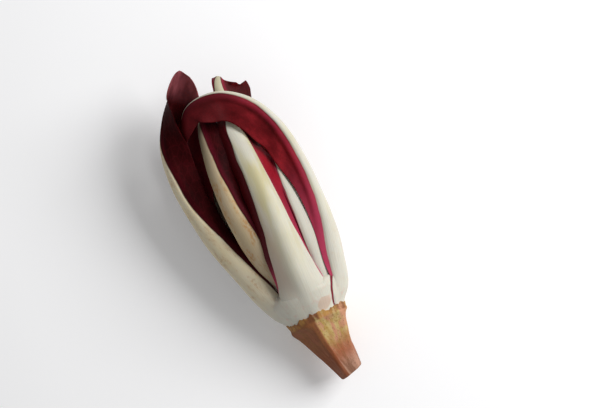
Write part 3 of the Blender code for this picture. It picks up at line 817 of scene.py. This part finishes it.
# %% Inner leaves
LEAVES += [
    leaf(
        "back_leaf",
        [(2.2, 13, 28.2), (4.8, 30, 34), (7.0, 60, 37.5), (8.8, 90, 37.5), (9.6, 110, 37.5), (8.4, 121, 38.5),
         (5.6, 131, 40), (3.5, 139, 41), (4.4, 145.3, 40.5), (6.1, 148.9, 37.5), (6.5, 148.2, 34.5)],
        seed=300, slot="red_leaf", turn_at=140.0, round_from=0.985, ruffle=0.1,
        twist=(0, 0, -10, -14, -18, -24, -28, -20),
        rib=(2.6, 3.4, 3.9, 3.8, 3.4, 3.2, 3.0, 1.5),
        thick=(2.6, 3.2, 3.2, 3.0, 2.8, 2.6, 2.2, 1.5),
        left=(0.3, 1.5, 2.5, 2.8, 2.8, 2.5, 9.0, 11.0, 1.2, 2.6),
        fold_left=(0, 20, 45, 55, 55, 40, 0, -25),
        right=(0.3, 1.0, 1.5, 1.8, 2.0, 2.0, 2.0, 2.0, 2.0, 2.0, 1.8, 1.6, 1.6, 2.0, 3.0, 9.0, 14.0, 15.6, 14.6,
               11.0, 7.0),
        fold_right=(0, 20, 45, 45, 30, -10, -34, -34),
        white=(-1.0, -1.0, -1.0, -1.0, -1.0, -1.0, -1.0, -1.0, 0.9, 1.0, 0.3),
    ),
]


SWELL = [(0.00, 0.30), (0.14, 0.55), (0.36, 0.90), (0.62, 1.00), (0.84, 0.86), (0.97, 0.52), (1.00, 0.18)]
HEART_LEAST = 2.9             # mm: no rib comes closer to the axis
FLATNESS = 0.85               # how high the rings of inner leaves are for their width


def inner_leaf(name, angle, reach, base_y, length, size, seed):
    """A smaller leaf inside the outer ones, at an angle round the axis, with its tip hooked in.

    Rib = axis + reach x out x (cos angle, flatness x sin angle), where out swells and closes as in SWELL,
    whose pairs are shares of the length and of the reach.
    """
    a = math.radians(angle)
    path = []
    for share, out in SWELL:
        out = reach * max(out, HEART_LEAST / reach)
        y = base_y + share * length
        x0, _, z0 = head_axis(y)
        path.append((x0 + out * math.cos(a), y, z0 + FLATNESS * out * math.sin(a)))
    across = np.array([2.2, 3.4, 3.8, 3.4, 2.4, 0.9]) * size
    blade = np.array([0.3, 2.5, 6.0, 7.5, 6.5, 0.8]) * size
    thick = np.array([2.6, 3.2, 3.2, 2.8, 2.2, 1.5]) * size
    return leaf(name, path, seed, slot="red_leaf", turn_at=base_y + 0.8 * length,
                rib=across, left=blade, right=blade, thick=thick)


for number, (angle, reach, length, size) in enumerate(
        [(140, 14.0, 124, 1.1), (211, 17.5, 122, 1.2), (275, 15.5, 114, 1.0), (-18, 15.5, 110, 0.95)], 1):
    LEAVES.append(inner_leaf(f"inner_leaf_{number}", angle, reach, 13.4, length, size, 320 + 20 * number))
for number, (angle, length) in enumerate([(100, 90), (190, 84), (280, 80), (10, 86)], 1):
    LEAVES.append(inner_leaf(f"heart_leaf_{number}", angle, 6.2, 17.5, length, 0.5, 420 + 20 * number))
print(len(LEAVES), "leaves planned")

# %% [markdown]
# ## Where the leaves join
#
# Near the collar the leaves are not separate: their bases have grown together into one pale sheath, and
# the gaps between them only open further up. First the outside of the head is measured there. At each
# angle round the head, its radius is the greatest radius of any leaf, and the valleys between the ribs
# are filled by a closing (the greatest radius nearby, then the least of those), which is then smoothed.
# The bases draw in at the collar itself, so the outside is pinched there by up to two millimetres.

# %% The outside of the joined bases
SHEATH_FROM, SHEATH_TO = -2.0, 34.0    # mm from the collar that are measured
LEAN = 0.13                   # how far the collar leans: y = lean x height over the axis
SHEATH_ROUND, SHEATH_ALONG = 288, 73
FIRST_LEAVES = 1.5            # mm from the collar where all the outer leaves have begun
CLOSING = 22                  # columns that the closing reaches each way
HOLE_ROUNDS, CLOSED_ROUNDS = 6, 16    # rounds of filling the table's empty places, and of smoothing it
PINCH, PINCH_FROM, PINCH_TO = 2.6, -5.0, 8.0    # mm of pinch, and mm from the collar between which it fades


def sheath_row(run):
    """The table's row at a distance from the collar: (distance - from) / (to - from) x (rows - 1)."""
    return (run - SHEATH_FROM) / (SHEATH_TO - SHEATH_FROM) * (SHEATH_ALONG - 1)


def round_axis(points):
    """Radius, angle and leaned distance of points from the head's axis and the collar."""
    centre = head_axis(points[..., 1])
    dx, dz = points[..., 0] - centre[..., 0], points[..., 2] - centre[..., 2]
    return np.hypot(dx, dz), np.arctan2(dz, dx) % (2 * math.pi), points[..., 1] - LEAN * dz


def circular(values, reach, pick):
    """The pick (np.maximum or np.minimum) of each value and its neighbours within reach, round the circle."""
    found = values.copy()
    for shift in range(1, reach + 1):
        found = pick(found, pick(np.roll(values, shift, 1), np.roll(values, -shift, 1)))
    return found


def smoothed(values, rounds):
    """Each round replaces a value by a quarter, a half and a quarter of it and its neighbours, both ways."""
    for _ in range(rounds):
        values = 0.5 * values + 0.25 * (np.roll(values, 1, 1) + np.roll(values, -1, 1))
        padded = np.concatenate([values[:1], values, values[-1:]])
        values = 0.25 * padded[:-2] + 0.5 * padded[1:-1] + 0.25 * padded[2:]
    return values


def leaf_envelope(surfaces):
    """The leaves' greatest radius from the head's axis, in a table of distance along x angle."""
    radius, angle, run = round_axis(np.concatenate([p.reshape(-1, 3) for p in surfaces]))
    row = np.rint(sheath_row(run)).astype(int)
    column = np.rint(angle / (2 * math.pi) * SHEATH_ROUND).astype(int) % SHEATH_ROUND
    table = np.zeros((SHEATH_ALONG, SHEATH_ROUND))
    near = (row >= 0) & (row < SHEATH_ALONG)
    np.maximum.at(table, (row[near], column[near]), radius[near])
    for _ in range(HOLE_ROUNDS):
        table = np.where(table > 0, table, np.maximum(np.roll(table, 1, 1), np.roll(table, -1, 1)))
    first = int(sheath_row(FIRST_LEAVES))
    table[:first] = table[first]
    return np.maximum(table, 1.0)


def read_table(table, run, angle):
    """The table's value at a distance and an angle, blended from the four nearest places."""
    row = np.clip(sheath_row(run), 0, SHEATH_ALONG - 1.001)
    column = (angle / (2 * math.pi) * SHEATH_ROUND) % SHEATH_ROUND
    i, j = row.astype(int), column.astype(int) % SHEATH_ROUND
    f, g = row - i, column - column.astype(int)
    k = (j + 1) % SHEATH_ROUND
    here = table[i, j] * (1 - g) + table[i, k] * g
    beyond = table[i + 1, j] * (1 - g) + table[i + 1, k] * g
    return here * (1 - f) + beyond * f


grids = [leaf_surface(plan) for plan in LEAVES]
envelope = leaf_envelope([grid[0] for grid in grids])
closed = circular(circular(envelope, CLOSING, np.maximum), CLOSING, np.minimum)
closed = smoothed(closed, CLOSED_ROUNDS)
runs = np.linspace(SHEATH_FROM, SHEATH_TO, SHEATH_ALONG)[:, None]
closed = closed - PINCH * (1 - smooth_step((runs - PINCH_FROM) / (PINCH_TO - PINCH_FROM)))
print("radius at the collar, mm:", closed[0].min().round(1), "to", closed[0].max().round(1))

# %% [markdown]
# ## Making the leaves
#
# One loop makes them all. Each fine leaf stands for the solid of the same name, which is hidden, and
# takes its place in the assembly. Before that, the outer skin of every leaf is drawn to the measured
# outside near the collar, and less and less further up, so neighbouring bases run into one another
# without a step. The inner side of the leaf stays where it is, so the flesh only gets thicker there.
# A groove is pressed in between the widest rib and the hooked one, where their bases haven't quite joined.

# %% Leaves
WELDED_TO, FREE_FROM = 2.0, 29.0     # mm from the collar
GROOVE_ANGLE = 47.0           # degrees round the axis, at the collar
GROOVE_TURN, GROOVE_BACK = 1.0, 0.083    # degrees a mm that it turns left, and a square mm that it turns back
GROOVE_LENGTH = 17.0          # mm from the collar along which it turns
GROOVE_WIDTH = 0.05           # radians
LEAF_GROOVE, SHEATH_GROOVE = 0.9, 0.3    # mm that it is deep in the leaves and in the sheath
SKIN_DEPTH = 3.4              # mm under the outside where a leaf is still drawn outwards


def groove(run, angle):
    """How far off the groove's line a place is, in radians, and the groove's depth there, from 0 to 1."""
    run = np.clip(run, 0.0, GROOVE_LENGTH)
    off = angle - np.radians(GROOVE_ANGLE + GROOVE_TURN * run - GROOVE_BACK * run ** 2)
    off = np.abs((off + math.pi) % (2 * math.pi) - math.pi)
    return off, np.exp(-(off / GROOVE_WIDTH) ** 2)


def drawn_out(points):
    """radius + (outside - radius) x nearness to the collar x nearness to the outside, less the groove."""
    radius, angle, run = round_axis(points)
    gap = read_table(closed, run, angle) - LEAF_GROOVE * groove(run, angle)[1] - radius
    near = 1 - smooth_step((run - WELDED_TO) / (FREE_FROM - WELDED_TO))
    outside = 1 - smooth_step((gap - SKIN_DEPTH) / SKIN_DEPTH)
    share = (radius + gap * near * outside) / np.maximum(radius, 0.1)
    centre = head_axis(points[..., 1])
    return centre + (points - centre) * share[..., None]


for plan, (points, across, along, past_white) in zip(LEAVES, grids):
    mesh = grid_mesh(plan["name"] + "_skin", drawn_out(points))
    add_leaf_map(mesh, across, along, past_white)
    add_piece(plan["name"] + "_skin", mesh, plan["finish"], plan["slot"], plan["name"])

# %% [markdown]
# ## The sheath
#
# What is left is to fill the gaps between the bases. A skin is laid just under the measured outside, all
# round. From a centimetre above the collar it sinks into the valleys, as the web between two leaf bases
# does, and further up it goes down to the heart, out of sight. It is a closed ring: its outer and inner
# side are one grid, joined at both ends. A pink line runs in the groove between the two widest bases.

# %% The joined bases
APART_FROM, APART_TO = 11.0, 27.0    # mm from the collar where the web begins and ends to sink
DIVE_FROM, DIVE_TO = 16.0, 31.0    # mm from the collar where it begins and ends to go down to the heart
CORE = 3.0                    # mm, its radius there
UNDER_SKIN, WEB_DEPTH, SHEATH_WALL = 0.10, 1.2, 1.6    # mm under the outside, under the valleys, and thick
WEB_ROUNDS = 9                # rounds of smoothing the valleys
SEAM = math.radians(243)      # the angle where the skin's map begins and ends, under the lower left leaf
MAP_RADIUS, MAP_START = 20.0, 5.0    # mm a radian in the skin's map, and mm that its rows are moved along
LINE_HALF, LINE_RADIUS = 0.7, 18.0    # mm, half the pink line's width, and mm a radian off the groove


def sheath_point(radius):
    """Axis + radius x (cos, sin) of the angle, at the leaned distance from the collar."""
    up = radius * np.sin(angle)
    y = runs + LEAN * up
    axis = head_axis(y)
    return np.stack([axis[..., 0] + radius * np.cos(angle), y, axis[..., 2] + up], axis=-1)


angle = np.arange(SHEATH_ROUND)[None] / SHEATH_ROUND * 2 * math.pi
off_groove, deep = groove(runs, angle)
WEB = slice(0, int(sheath_row(DIVE_TO)) + 1)
let_go = smooth_step((runs - APART_FROM) / (APART_TO - APART_FROM))
dive = smooth_step((runs - DIVE_FROM) / (DIVE_TO - DIVE_FROM))
low = np.minimum(smoothed(envelope, WEB_ROUNDS), closed) - WEB_DEPTH
outer = (closed - UNDER_SKIN) * (1 - let_go) + low * let_go - SHEATH_GROOVE * deep
outer = outer * (1 - dive) + CORE * dive


def there_and_back(rows):
    """The web's rows from the collar up, and then down again for its inner side."""
    return np.concatenate([rows[WEB], rows[WEB][::-1]])


section = np.concatenate([sheath_point(outer)[WEB], sheath_point(outer - SHEATH_WALL)[WEB][::-1]])
mesh = grid_mesh("joined_bases", section.transpose(1, 0, 2), ends="join")
run = there_and_back(runs).T + MAP_START
around = ((SEAM - angle) % (2 * math.pi) + 0.5 * math.pi - SEAM) * MAP_RADIUS
around, run = np.broadcast_arrays(around.T, run)
add_leaf_map(mesh, around, run, LINE_HALF - LINE_RADIUS * there_and_back(off_groove).T)
add_piece("joined_bases", mesh, SHEATH_FLESH, "pale_leaf")

# %% [markdown]
# ## The peeled root
#
# The root was pared to a blunt point with a small knife, so it has long flat cuts that meet in soft
# ridges. In each sector the radius of a flat cut is the apothem over the cosine of the angle from the
# middle of the cut. Where the paring stopped, at the leaf bases, a torn edge of skin is left: the root's
# last rings run over the leaf bases a little, to a height that jumps up and down round the collar. Places
# along the root are counted in its planned rings: 0 is the cut tip and 3 the last ring, at the collar.

# %% Root surface
ROOT_RINGS = np.array([     # y, radius, centre right, centre up, lean, yaw, angle of the first ridge
    (-39.5, 7.2, 5.2, -4.0, 0.05, 0.28, 124), (-24.0, 10.9, 2.8, -2.6, 0.10, 0.14, 110),
    (-9.0, 16.3, 1.2, -0.8, 0.12, 0.04, 105), (-1.6, 19.9, 0.0, 0.0, 0.13, 0.0, 105),
])
ROOT_CUTS = 5                 # flats round it
CUT_DEPTH = 0.855             # how far a cut's flat lies from the root's middle, as a share of its radius
SHALLOW, SHALLOW_FROM, SHALLOW_OVER = 0.07, -9.0, 7.0    # share that the cuts lose near the collar, and mm
ROOT_ROUND, ROOT_ALONG = 288, 150
FIBRES = ((23, 0.05), (41, 0.08), (67, 0.11))    # waves round the root, and how fast they wander along it
FIBRE_HEIGHT, SCOOP_HEIGHT = 0.05, 0.20    # mm
TIP_SHRINK, TIP_PLACES = 0.10, 0.06    # share that the root is smaller at its cut tip, and over how many places
LIP_FROM, LIP_OVER = 2.45, 0.42    # places where the root swells out to the lip over the leaf bases
LIP, LIP_UNEVEN = 0.38, 0.10  # mm that the lip stands over the leaf bases
TEAR_FROM, TEAR_OVER = 2.80, 0.20    # places over which the edge is torn
TEAR, TEAR_UNEVEN = 2.2, 0.9  # mm that the torn edge reaches up the leaves
TUCKS = ((-0.15, 0.12), (-1.4, -0.5))    # mm out from the bases and along, where the lip turns under
CROWN_RADII, CROWN_DROP = (8.0, 2.0), -1.2    # mm, two last rings inside the head


def torn(angle, seed):
    """A ragged height round the collar: ripples of several widths, with their peaks sharpened."""
    rng = np.random.default_rng(seed)
    total = np.zeros_like(angle)
    for waves, height in ((5, 0.55), (9, 0.5), (16, 0.45), (27, 0.35), (45, 0.25)):
        phase = rng.uniform(0, 2 * math.pi)
        total += height * (1 - 2 * np.abs(np.sin(waves * angle / 2 + phase)))
    return total


def pared(place, angle):
    """Centre, radius, lean and yaw of the root at a place along its rings, where 0 is the cut tip."""
    i = np.minimum(place.astype(int), len(ROOT_RINGS) - 2)
    f = (place - i)[:, None]
    y, radius, dx, dz, lean, yaw, turn = (ROOT_RINGS[i] * (1 - f) + ROOT_RINGS[i + 1] * f).T[..., None]
    sector = 2 * math.pi / ROOT_CUTS
    local = np.mod(angle - np.radians(turn), sector) - sector / 2
    depth = CUT_DEPTH + SHALLOW * smooth_step((y - SHALLOW_FROM) / SHALLOW_OVER)
    size = radius * np.minimum(depth / np.cos(local), 1.0)
    return y, size, dx, dz, lean, yaw


def root_surface():
    """The root's rings: pared flats with fine fibres, a lip over the leaf bases, and its torn edge.

    Radius = (flat + fibres + scoops) x (1 - rise) + (the bases' outside + lip) x rise. Returns the points,
    and for each its angle, its distance from the collar and its rise.
    """
    angle = np.linspace(0, 2 * math.pi, ROOT_ROUND, endpoint=False)[None]
    place = np.linspace(0, len(ROOT_RINGS) - 1, ROOT_ALONG)
    y, size, dx, dz, lean, yaw = pared(place, angle)
    fibre = sum(np.sin(k * angle + 2 * np.sin(y * w + k)) for k, w in FIBRES) / len(FIBRES)
    scoop = np.sin(3 * angle + y * 0.13) * np.sin(y * 0.21 + 1.3)
    size = size + FIBRE_HEIGHT * fibre + SCOOP_HEIGHT * scoop
    place = place[:, None]
    size = size * (1 - TIP_SHRINK * np.clip((TIP_PLACES - place) / TIP_PLACES, 0, 1) ** 2)
    rise = smooth_step((place - LIP_FROM) / LIP_OVER)
    y = y + smooth_step((place - TEAR_FROM) / TEAR_OVER) * (TEAR + TEAR_UNEVEN * torn(angle, 8))
    skin = read_table(closed, y, angle + 0 * y)
    size = size * (1 - rise) + (skin + LIP + LIP_UNEVEN * torn(angle, 5)) * rise
    tucked = [(skin[-1:] + out, drop) for out, drop in TUCKS]
    tucked += [(np.full_like(angle, radius), CROWN_DROP) for radius in CROWN_RADII]
    y = np.concatenate([y, *(y[-1:] + drop for _, drop in tucked)])
    size = np.concatenate([size, *(radius for radius, _ in tucked)])
    dx, dz, lean, yaw = (np.concatenate([a, np.repeat(a[-1:], len(tucked), 0)]) for a in (dx, dz, lean, yaw))
    across, up = size * np.cos(angle), size * np.sin(angle)
    points = np.stack([COLLAR_X + dx + across, y + lean * up + yaw * across, COLLAR_Z + dz + up], axis=-1)
    above = np.concatenate([rise * np.ones_like(angle), np.ones((len(tucked), ROOT_ROUND))])
    return points[:, ::-1], (angle + 0 * y)[:, ::-1], y[:, ::-1], above[:, ::-1]


print("the root's planned rings, mm from the collar:", ROOT_RINGS[:, 0])

# %% [markdown]
# ## The root's flesh
#
# Pared root is tan with fibres along it, pinker and redder towards the tip, where it has begun to dry,
# and ochre to brown at the torn edge. The fibres are noise that is stretched along the root, and the
# tints come from broad noise and from the distance along. The cut on the left, as far as the ridge
# between the two cuts that face up, is darkened with painted shade, since it faces away from the light.
# The noise is read on a cylinder, so it has no seam.

# %% Root finish
RIDGE_TURN, RIDGE_DRIFT = 105 / 360, 0.0008    # where that ridge is, in turns, and how it drifts in a mm
CREAM, OCHRE, ROSE = (0.50, 0.37, 0.155), (0.38, 0.24, 0.065), (0.50, 0.22, 0.14)
SALMON, RUST = (0.33, 0.085, 0.035), (0.29, 0.10, 0.045)
TIP_BROWN, TIP_PINK = (0.24, 0.13, 0.085), (0.46, 0.27, 0.19)
# red and brown of the painted shade on the left cut, which faces away from the light
SHADED_CUT_RED, SHADED_CUT_BROWN = (0.20, 0.050, 0.016), (0.27, 0.085, 0.032)
RIM_OCHRE, RIM_BROWN, SPECK_BROWN = (0.42, 0.22, 0.06), (0.20, 0.075, 0.03), (0.15, 0.062, 0.024)


def root_finish():
    """Cream and ochre fibres, then rose, the middle's red, the tip, painted shade on the left cut, specks and the rim.
    """
    made, shader, wire = new_finish("peeled_root_flesh")
    circle = {"Vector": wire.node("ShaderNodeUVMap", {"uv_map": "root"})}
    x = wire.node("ShaderNodeSeparateXYZ", {}, circle, 0) * 2.0 - 1.0
    z = wire.node("ShaderNodeSeparateXYZ", {}, circle, 1) * 2.0 - 1.0
    around = z.math("ARCTAN2", z, x) / (2 * math.pi)
    around = around + around.math("LESS_THAN", around, 0.0)
    down = wire.node("ShaderNodeAttribute", {"attribute_name": "down"}, {}, 2) + 40.0
    edge = wire.node("ShaderNodeAttribute", {"attribute_name": "torn"}, {}, 2)
    fibre = wire.noise(x * 7.0, down * 0.16, z * 7.0, 4.0, 0.6)
    broad = wire.noise(x * 2.0, down * 0.09 + 4.0, z * 2.0, 2.0)
    fine = wire.noise(x * 18.0, down * 0.75, z * 18.0, 4.0, 0.65)
    blush = wire.noise(x * 3.2, down * 0.10 + 9.0, z * 3.2, 3.0)
    colour = fibre.step(0.38, 0.64).mix(CREAM, OCHRE)
    colour = (blush.step(0.46, 0.60) * 0.8).mix(colour, ROSE)
    middle = 1.0 - (down + blush * 22.0 + fibre * 6.0).step(28.0, 40.0)
    colour = (middle * 0.95).mix(colour, fibre.step(0.40, 0.62).mix(SALMON, RUST))
    tip = 1.0 - (down + fibre * 8.0).step(9.0, 20.0)
    colour = (tip * 0.75).mix(colour, blush.step(0.42, 0.60).mix(TIP_BROWN, TIP_PINK))
    # painted shade: the left cut, up to the ridge, faces away from the light
    turned = (around - RIDGE_TURN + down * RIDGE_DRIFT).step(0.0, 0.012) * (1.0 - around.step(0.52, 0.60))
    colour = (turned * 0.85).mix(colour, fibre.step(0.40, 0.66).mix(SHADED_CUT_RED, SHADED_CUT_BROWN))
    colour = (fine.step(0.53, 0.70) * 0.7).mix(colour, SPECK_BROWN)
    rim = edge.step(0.5, 1.0) * (0.3 + 0.7 * fibre.step(0.38, 0.6))
    colour = rim.mix(colour, broad.step(0.4, 0.6).mix(RIM_OCHRE, RIM_BROWN))
    grain = wire.bump(fibre * 0.6 + fine * 0.5, 0.5, 0.0004)
    feed(shader, wire, Base_Color=colour, Roughness=0.60 + 0.2 * fine, Normal=grain, Specular_IOR_Level=0.2)
    return made


points, around, down, above = root_surface()
mesh = grid_mesh("root_skin", points)
add_uv(mesh, "root", 0.5 + 0.5 * np.cos(around), 0.5 + 0.5 * np.sin(around))
add_number(mesh, "down", down)
add_number(mesh, "torn", above)
add_piece("root_skin", mesh, root_finish(), "peeled_root", "root_stub")

# %% [markdown]
# ## Board, light and camera
#
# The head lies on a plain pale board under one large soft light from the upper right, with a weak even
# light from everywhere so the shadows stay open. The board glows very faintly itself, which keeps it near
# white without a stronger light on the leaves. The camera looks straight down, turned so that the head
# leans as it would lie on a kitchen board.

# %% Board, light and camera
BOARD_REACH = 6.0             # metres from the head's middle to the board's sides
VIEW_TURN = math.radians(25)  # how far the camera is turned from the head's length
VIEW_UP = Vector((math.sin(VIEW_TURN), math.cos(VIEW_TURN), 0.0))
VIEW_RIGHT = Vector((VIEW_UP.y, -VIEW_UP.x, 0.0))
EYE = (21.2, 61.8, 871.0)     # plan mm
SENSOR, LENS = 36.0, 85.2     # mm

middle = Vector(((cad_low.x + cad_high.x) / 2, (cad_low.y + cad_high.y) / 2, 0.0))
board_mesh = bpy.data.meshes.new("pale_board")
corners = [(middle.x + a * BOARD_REACH, middle.y + b * BOARD_REACH, cad_low.z)
           for a, b in ((-1, -1), (1, -1), (1, 1), (-1, 1))]
board_mesh.from_pydata(corners, [], [(0, 1, 2, 3)])
board = bpy.data.objects.new("pale_board", board_mesh)
bpy.context.scene.collection.objects.link(board)
made, shader, wire = new_finish("pale_board_paint")
feed(shader, wire, Base_Color=(0.93, 0.93, 0.94, 1.0), Roughness=0.7, Emission_Strength=0.10)
board_mesh.materials.append(made)

eye = Vector(to_world(EYE))
camera_data = bpy.data.cameras.new("camera")
camera_data.sensor_width, camera_data.lens = SENSOR, LENS
camera_data.clip_end = 10.0
camera = bpy.data.objects.new("camera", camera_data)
turn = Matrix((VIEW_RIGHT, VIEW_UP, Vector((0, 0, 1)))).transposed()
camera.matrix_world = Matrix.Translation(eye) @ turn.to_4x4()
bpy.context.scene.collection.objects.link(camera)
bpy.context.scene.camera = camera
print("camera at", [round(c, 3) for c in eye])


def soft_light(name, place, size, watts):
    """A square white light of a size in metres that faces the head from a place."""
    data = bpy.data.lights.new(name, "AREA")
    data.shape, data.size, data.energy = "SQUARE", size, watts
    light = bpy.data.objects.new(name, data)
    light.location = place
    light.rotation_euler = (middle - place).to_track_quat("-Z", "Y").to_euler()
    bpy.context.scene.collection.objects.link(light)


soft_light("window_light", VIEW_RIGHT * 0.76 + VIEW_UP * 0.46 + Vector((0, 0, 0.74)), 0.7, 13.6)
world = bpy.data.worlds.new("studio")
bpy.context.scene.world = world
world.use_nodes = True
background = world.node_tree.nodes["Background"].inputs
background["Color"].default_value, background["Strength"].default_value = (0.8, 0.8, 0.8, 1.0), 0.42
bpy.context.scene.view_settings.view_transform = "Standard"
